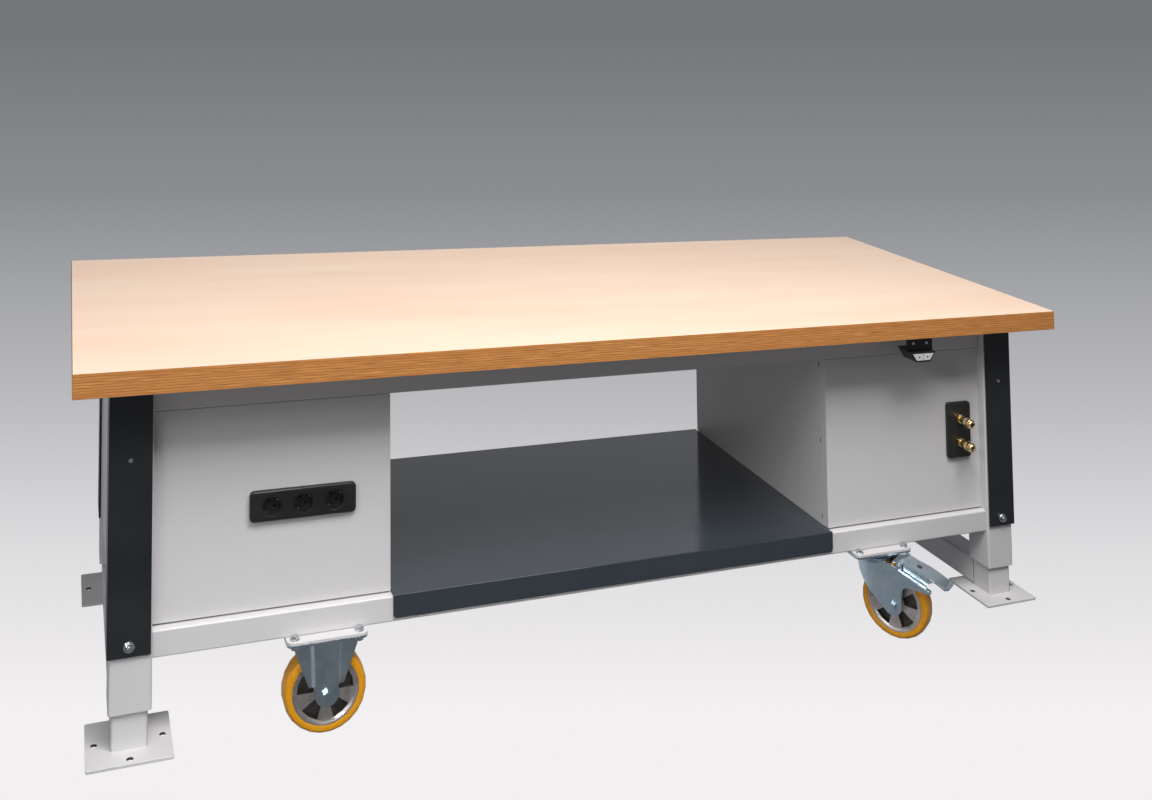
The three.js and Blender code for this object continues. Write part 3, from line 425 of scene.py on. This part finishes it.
# Tail and deep flanges of the brake pedal: points along the pedal and above its pin, in metres
pedalSkirt = {
    "pin": (0.085, 0.196),
    "tail": ((-0.022, 0.001), (-0.0035, 0.0068), (-0.0035, 0.0032), (-0.022, -0.003)),
    "tailHalf": 0.027,
    "flange": ((0.0058, 0.0048), (0.010, 0.0048), (0.033, -0.0022), (0.065, -0.0092), (0.091, -0.018),
               (0.070, -0.032), (0.033, -0.024), (0.008, -0.012)),
    "flangeFrom": 0.0266,
    "flangeTo": 0.03015,
}


def addPlate(shape, points, start, end, place):
    sides = [[shape.verts.new(place(u, v, w)) for u, w in points] for v in (start, end)]
    shape.faces.new(sides[0])
    shape.faces.new(sides[1][::-1])
    for first in range(len(points)):
        after = (first + 1) % len(points)
        shape.faces.new((sides[0][after], sides[0][first], sides[1][first], sides[1][after]))


def addPedalSkirt(row):
    headLow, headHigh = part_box(f"swivel_head_{row}")
    wheelLow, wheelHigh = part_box(f"swivel_wheel_{row}_tyre")
    pivot = (headLow + headHigh) / 2
    ahead = (wheelLow + wheelHigh) / 2 - pivot
    ahead.z = 0
    ahead.normalize()
    across = Vector((-ahead.y, ahead.x, 0))
    pinAlong, pinHeight = pedalSkirt["pin"]

    def place(u, v, w):
        spot = pivot + ahead * (pinAlong + u) + across * v
        return (spot.x, spot.y, pinHeight + w)

    def build(shape):
        addPlate(shape, pedalSkirt["tail"], -pedalSkirt["tailHalf"], pedalSkirt["tailHalf"], place)
        for way in (-1, 1):
            start = way * pedalSkirt["flangeFrom"]
            end = way * pedalSkirt["flangeTo"]
            addPlate(shape, pedalSkirt["flange"], start, end, place)
        bmesh.ops.recalc_face_normals(shape, faces=shape.faces)

    meshPiece(f"brake_pedal_skirt_{row}", build, "zinc", f"brake_pedal_{row}")


for row in rowSigns:
    addPedalSkirt(row)


coverFixings = {
    "bolt": 0.255, "screw": 0.630, "sink": 0.0004, "washer": 0.0115, "washerThick": 0.0018, "head": 0.0088,
    "headThick": 0.0075, "stud": 0.0048, "studLength": 0.004, "screwHead": 0.0045, "screwThick": 0.0024,
}


def addCoverFixings(row, side):
    low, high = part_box(f"leg_cover_{row}_{side}")
    out = rowSigns[row]
    face = high.y if out > 0 else low.y
    x = (low.x + high.x) / 2

    def build(shape):
        reach = face - out * coverFixings["sink"]
        for radius, length, sides in (("washer", "washerThick", 20), ("head", "headThick", 6),
                                      ("stud", "studLength", 14)):
            spot = (x, reach, coverFixings["bolt"])
            addDisc(shape, spot, (0, out, 0), coverFixings[radius], coverFixings[length], sides)
            reach += out * coverFixings[length]
        spot = (x, face - out * coverFixings["sink"], coverFixings["screw"])
        addDisc(shape, spot, (0, out, 0), coverFixings["screwHead"], coverFixings["screwThick"], 12)

    meshPiece(f"leg_cover_fixings_{row}_{side}", build, "brightSteel", "frame")


for row in rowSigns:
    for side in sideSigns:
        addCoverFixings(row, side)


earthClips = {"width": 0.0034, "thick": 0.0008, "inner": 0.0171, "length": 0.012, "setBack": 0.0015}


def addEarthClips(where):
    low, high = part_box(f"socket_insert_{where}")
    centre = (low + high) / 2

    def build(shape):
        for turn in (45, 225):
            angle = math.radians(turn)
            before = len(shape.verts)
            mouth = low.y + earthClips["setBack"]
            half = earthClips["width"] / 2
            addBox(shape, (earthClips["inner"] - earthClips["thick"], mouth, -half),
                   (earthClips["inner"] + earthClips["thick"], mouth + earthClips["length"], half))
            shape.verts.ensure_lookup_table()
            spin = Matrix.Translation((centre.x, 0, centre.z)) @ Matrix.Rotation(-angle, 4, "Y")
            bmesh.ops.transform(shape, matrix=spin, verts=shape.verts[before:])

    meshPiece(f"socket_earth_clips_{where}", build, "brightSteel", "frame")


for where in ("left", "middle", "right"):
    addEarthClips(where)


buttonDots = {"radius": 0.0024, "proud": 0.0004, "sink": 0.0004, "aside": 0.004}


def addButtonDot(which):
    low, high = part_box(f"switch_button_{which}")
    aside = buttonDots["aside"] if which == "down" else -buttonDots["aside"]
    spot = ((low.x + high.x) / 2 + aside, low.y + buttonDots["sink"], (low.z + high.z) / 2)

    def build(shape):
        length = buttonDots["proud"] + buttonDots["sink"]
        addDisc(shape, spot, (0, -1, 0), buttonDots["radius"], length, 16)

    meshPiece(f"switch_dot_{which}", build, "blackPlastic", f"button_{which}")


for which in ("down", "up"):
    addButtonDot(which)


bracketScrews = {"spread": 0.021, "drop": 0.021, "radius": 0.0042, "proud": 0.002, "sink": 0.0004}


def addBracketScrews():
    low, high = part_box("switch_bracket")
    middle = (low.x + high.x) / 2

    def build(shape):
        length = bracketScrews["proud"] + bracketScrews["sink"]
        level = high.z - bracketScrews["drop"]
        for way in (-1, 1):
            spot = (middle + way * bracketScrews["spread"], low.y + bracketScrews["sink"], level)
            addDisc(shape, spot, (0, -1, 0), bracketScrews["radius"], length, 14)

    meshPiece("switch_bracket_screws", build, "brightSteel", "frame")


addBracketScrews()
print("small pieces added")


# Softboxes: place, aim, width and height in metres, watts, spread in degrees
softboxes = {
    "key": {"spot": (0.0, -2.1, 3.6), "aim": (0.0, 0.0, 0.7), "size": (2.6, 1.4),
            "power": 172, "spread": 180, "tint": (1, 0.98, 0.96)},
    "side": {"spot": (-2.6, -2.4, 2.5), "aim": (0.5, -0.2, 0.4), "size": (1.0, 0.8),
             "power": 25, "spread": 180, "tint": (1, 0.99, 0.98)},
    "low": {"spot": (-1.2, -3.0, 1.3), "aim": (-0.3, -0.4, -0.05), "size": (2.0, 0.4),
            "power": 1.5, "spread": 27, "tint": (1, 1, 1)},
    "front": {"spot": (-0.6, -4.6, 0.6), "aim": (0.1, 0.0, 0.3), "size": (3.4, 0.8),
              "power": 2.5, "spread": 180, "tint": (1, 1, 1)},
    "left": {"spot": (-3.6, -1.6, 1.0), "aim": (0.2, 0.0, 0.4), "size": (2.0, 1.6),
             "power": 9, "spread": 180, "tint": (1, 1, 1)},
}


def addSoftbox(name, values):
    light = bpy.data.lights.new(name, "AREA")
    light.shape = "RECTANGLE"
    light.size, light.size_y = values["size"]
    light.energy = values["power"]
    light.spread = math.radians(values["spread"])
    light.color = values["tint"]
    lamp = bpy.data.objects.new(name, light)
    lamp.location = values["spot"]
    lamp.rotation_euler = (Vector(values["aim"]) - Vector(values["spot"])).to_track_quat("-Z", "Y").to_euler()
    scene.collection.objects.link(lamp)


for name, values in softboxes.items():
    addSoftbox(name, values)
print("lights ready")

# Camera: a view camera with a slightly slanted film, as the straightened photograph needs
viewCamera = {
    "spot": (-1.2665, -3.2047, 1.6659),
    "yaw": 23.66,
    "pitch": 3.402,
    "roll": 3.390,
    "slant": 0.07164,
    "slide": (-0.02781, -0.39280),
    "lens": 38.525,
    "film": 36.0,
}


def filmAxes(values):
    yaw, pitch, roll = (math.radians(values[name]) for name in ("yaw", "pitch", "roll"))
    level = Vector((math.cos(yaw), -math.sin(yaw), 0))
    ahead = Vector((math.sin(yaw) * math.cos(pitch), math.cos(yaw) * math.cos(pitch), math.sin(pitch)))
    above = level.cross(ahead)
    right = level * math.cos(roll) + above * math.sin(roll)
    up = above * math.cos(roll) - level * math.sin(roll)
    up = (up + right * values["slant"]).normalized()
    gaze = ahead + right * values["slide"][0] + up * values["slide"][1]
    return right, up, gaze


def makeCamera(values):
    right, up, gaze = filmAxes(values)
    data = bpy.data.cameras.new("viewCamera")
    data.lens = values["lens"] * gaze.length
    data.sensor_width = values["film"]
    camera = bpy.data.objects.new("viewCamera", data)
    holder = bpy.data.objects.new("cameraStand", None)
    scene.collection.objects.link(holder)
    scene.collection.objects.link(camera)
    camera.parent = holder
    axes = Matrix((right, up, -gaze.normalized())).transposed().to_4x4()
    camera.matrix_parent_inverse = Matrix.Translation(values["spot"]) @ axes
    scene.camera = camera


makeCamera(viewCamera)
scene.view_settings.view_transform = "Standard"
print("camera ready")

# Backdrop: a sweep from grey above to white below, flat as the film sees it, which gives no shadows
backdrop = {
    "shades": ((0.07, colour(117, 118, 122)), (0.26, colour(139, 141, 145)), (0.5, colour(187, 187, 190)),
               (0.68, colour(222, 221, 223)), (0.86, colour(243, 240, 241))),
    "edges": (0.347, -0.347),
    "surround": (0.88, 0.9, 0.94, 1.0),
    "strength": (0.15, 0.08),
    "gleam": (0.17, 0.5),
    "nearest": 0.25,
}


def along(tree, direction, axis):
    node = addNode(tree, "ShaderNodeVectorMath", operation="DOT_PRODUCT")
    joinSockets(tree, direction, node.inputs[0])
    node.inputs[1].default_value = axis
    return node.outputs["Value"]


def makeBackdrop(values):
    world = bpy.data.worlds.new("studio")
    scene.world = world
    world.use_nodes = True
    tree = world.node_tree
    tree.nodes.clear()
    direction = addNode(tree, "ShaderNodeTexCoord").outputs["Generated"]
    right, up, gaze = filmAxes(viewCamera)
    film = Matrix((right, up, gaze)).transposed().inverted()
    ahead = calculate(tree, "MAXIMUM", along(tree, direction, film[2]), values["nearest"])
    height = calculate(tree, "DIVIDE", along(tree, direction, film[1]), ahead)
    ramp = addNode(tree, "ShaderNodeValToRGB")
    stops = ramp.color_ramp.elements
    while len(stops) < len(values["shades"]):
        stops.new(0.5)
    for stop, (position, shade) in zip(stops, values["shades"]):
        stop.position = position
        stop.color = shade
    joinSockets(tree, remap(tree, height, *values["edges"], 0.0, 1.0), ramp.inputs["Fac"])
    seen = addNode(tree, "ShaderNodeBackground")
    joinSockets(tree, ramp.outputs["Color"], seen.inputs["Color"])
    light = addNode(tree, "ShaderNodeBackground")
    light.inputs["Color"].default_value = values["surround"]
    rise = along(tree, direction, (0, 0, 1))
    joinSockets(tree, remap(tree, rise, -0.3, 0.5, *values["strength"]), light.inputs["Strength"])
    mirrored = addNode(tree, "ShaderNodeBackground")
    mirrored.inputs["Color"].default_value = values["surround"]
    behind = along(tree, direction, (0, 1, 0))
    joinSockets(tree, remap(tree, behind, -0.5, 0.3, *values["gleam"]), mirrored.inputs["Strength"])
    path = addNode(tree, "ShaderNodeLightPath").outputs
    shown = light.outputs[0]
    for ray, source in (("Is Glossy Ray", mirrored), ("Is Camera Ray", seen)):
        mix = addNode(tree, "ShaderNodeMixShader")
        joinSockets(tree, path[ray], mix.inputs["Fac"])
        joinSockets(tree, shown, mix.inputs[1])
        joinSockets(tree, source.outputs[0], mix.inputs[2])
        shown = mix.outputs[0]
    joinSockets(tree, shown, addNode(tree, "ShaderNodeOutputWorld").inputs["Surface"])


makeBackdrop(backdrop)
print("backdrop ready")
